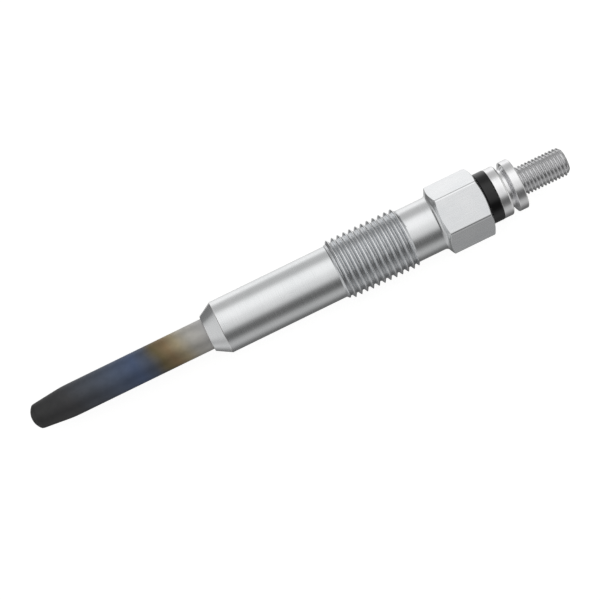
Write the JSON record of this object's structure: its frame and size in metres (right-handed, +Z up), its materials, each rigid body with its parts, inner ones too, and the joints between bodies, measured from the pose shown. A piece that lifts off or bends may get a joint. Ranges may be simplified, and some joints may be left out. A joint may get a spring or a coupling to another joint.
{
  "type": "diesel glow plug",
  "caption": "Sheathed-element diesel glow plug: tapered heating tube, steel body with conical seat, male thread and hexagon, and an insulated threaded terminal.",
  "frame": {"origin": "on the surface the plug lies on, under the middle of its length and of its width", "axes": "+X along the plug from the glow tube's tip to the terminal, +Z up and square to the hexagon's lower flat, +Y towards one corner of the hexagon"},
  "size_m": [0.0912, 0.0114, 0.0099],
  "materials": {
    "plated_steel": "satin zinc plate over turned and milled steel",
    "tinted_alloy": "nickel alloy sheath with heat colours, grey tip to blue to straw",
    "coil_wire": "dull drawn resistance wire",
    "magnesia": "compacted matt white powder",
    "rod_steel": "drawn steel",
    "seal_rubber": "matt black elastomer",
    "black_plastic": "glossy black moulding",
    "bright_plate": "bright nickel plate",
    "stud_steel": "bright collar, duller rolled thread"
  },
  "bodies": {
    "root": {"housing": "plated_steel", "glow_tube": "tinted_alloy", "heating_coil": "coil_wire", "regulating_coil": "coil_wire", "insulating_powder": "magnesia", "tube_seal": "seal_rubber", "center_rod": "rod_steel", "housing_seal": "seal_rubber", "insulating_washer": "black_plastic", "clamp_ring": "bright_plate", "terminal_stud": "stud_steel"}
  },
  "joints": []
}
